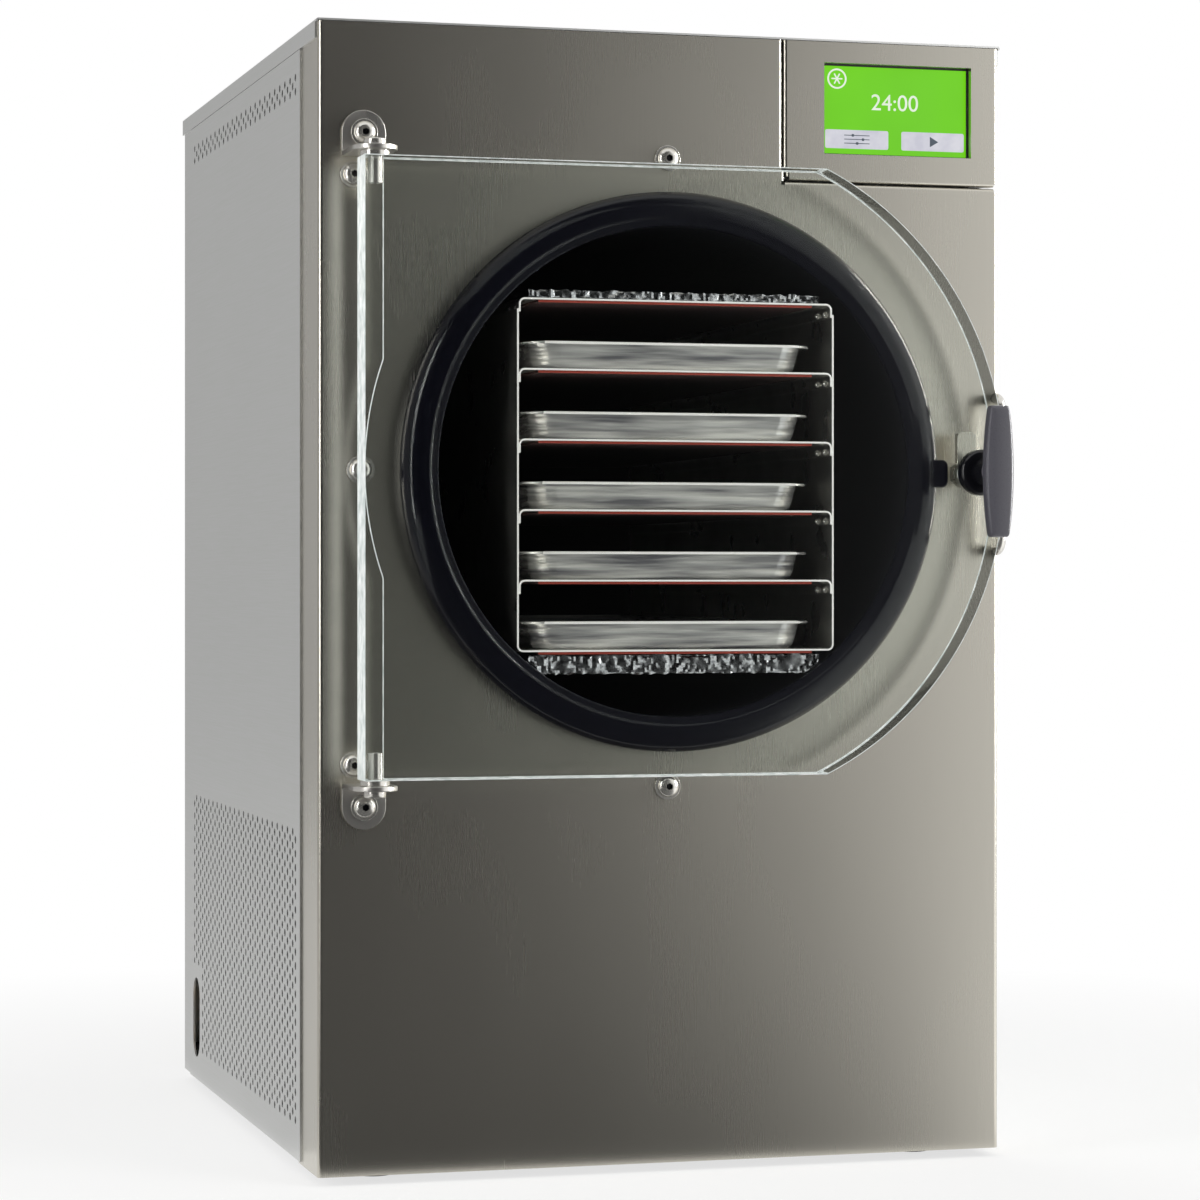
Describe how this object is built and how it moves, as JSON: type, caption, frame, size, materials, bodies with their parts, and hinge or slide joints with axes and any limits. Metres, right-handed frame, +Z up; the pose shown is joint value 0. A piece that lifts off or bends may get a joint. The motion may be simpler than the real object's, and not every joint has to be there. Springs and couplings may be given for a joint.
{
  "type": "freeze dryer",
  "caption": "Bench vacuum freeze dryer: a sheet steel cabinet, a round chamber behind a clear swing door with a T latch, and a heated rack of pressed trays.",
  "frame": {"origin": "on the floor under the middle of the machine's overall box", "axes": "+X to the viewer's right across the front, +Y from the front to the back, +Z up; the door is on the -Y side"},
  "size_m": [0.4572, 0.6142, 0.73],
  "materials": {
    "brushed_front": "vertical brushing",
    "side_sheet": "satin grey",
    "base_sheet": "satin",
    "foot_rubber": "matte",
    "screen_frame": "matte black",
    "screen_face": "lit green",
    "circuit_board": "green laminate",
    "zinc_case": "zinc grey",
    "drum_steel": "dark satin",
    "flange_steel": "satin",
    "gasket_rubber": "satin black",
    "foam": "closed cell foam",
    "copper": "drawn copper",
    "rack_steel": "satin",
    "heater_silicone": "matte red",
    "foil": "crinkled foil",
    "tray_steel": "satin pressed",
    "bright_hardware": "polished",
    "zinc_hardware": "zinc plated",
    "compressor_black": "gloss black",
    "condenser_fins": "mill finish",
    "fan_plastic": "satin",
    "brass_fitting": "turned",
    "hose_plastic": "satin",
    "socket_plastic": "matte black",
    "clear_acrylic": "polished clear",
    "handle_plastic": "satin black"
  },
  "bodies": {
    "cabinet": {"front_panel": "brushed_front", "left_side_panel": "side_sheet", "right_side_panel": "side_sheet", "top_cover": "side_sheet", "back_panel": "side_sheet", "base_tray": "base_sheet", "feet": "foot_rubber", "control_fascia": "brushed_front", "display_bezel": "screen_frame", "display_screen": "screen_face", "control_board": "circuit_board", "power_supply": "zinc_case", "chamber_drum": "drum_steel", "chamber_flange": "flange_steel", "door_gasket": "gasket_rubber", "drum_insulation": "foam", "cooling_coil": "copper", "rack_frame": "rack_steel", "heater_mats": "heater_silicone", "foil_blankets": "foil", "panel_bolts": "bright_hardware", "panel_washers": "bright_hardware", "panel_nuts": "zinc_hardware", "hinge_brackets": "rack_steel", "hinge_pins": "bright_hardware", "hinge_washers": "zinc_hardware", "latch_keeper": "bright_hardware", "compressor": "compressor_black", "compressor_mounts": "foot_rubber", "condenser": "condenser_fins", "fan_shroud": "base_sheet", "fan_motor": "zinc_case", "filter_drier": "copper", "refrigerant_pipes": "copper", "port_plate": "zinc_case", "vacuum_port": "brass_fitting", "drain_port": "brass_fitting", "chamber_tubes": "hose_plastic", "power_inlet": "socket_plastic", "switch_housing": "socket_plastic", "back_screws": "zinc_hardware", "shelf_1": "rack_steel", "tray_1": "tray_steel", "shelf_2": "rack_steel", "tray_2": "tray_steel", "shelf_3": "rack_steel", "tray_3": "tray_steel", "shelf_4": "rack_steel", "tray_4": "tray_steel", "shelf_5": "rack_steel", "tray_5": "tray_steel"},
    "door": {"door_plate": "clear_acrylic", "hinge_bushes": "bright_hardware", "latch_housing": "handle_plastic"},
    "latch": {"latch_handle": "handle_plastic", "latch_shaft": "zinc_hardware", "latch_tongue": "zinc_hardware"},
    "fan": {"fan_blade": "fan_plastic", "fan_shaft": "zinc_hardware"},
    "rocker": {"switch_rocker": "socket_plastic"}
  },
  "joints": [
    {"name": "door_hinge", "type": "hinge", "parent": "cabinet", "child": "door", "pos_m": [-0.1987, -0.2529, 0.448], "axis": [0, 0, -1], "range_deg": [0, 115]},
    {"name": "latch_turn", "type": "hinge", "parent": "door", "child": "latch", "pos_m": [0.1947, -0.2529, 0.448], "axis": [0, 1, 0], "range_deg": [0, 90]},
    {"name": "fan_spin", "type": "hinge", "parent": "cabinet", "child": "fan", "pos_m": [-0.1567, 0.0221, 0.12], "axis": [1, 0, 0], "continuous": true},
    {"name": "switch_rock", "type": "hinge", "parent": "cabinet", "child": "rocker", "pos_m": [-0.15, 0.2976, 0.388], "axis": [1, 0, 0], "range_deg": [0, 20]}
  ]
}
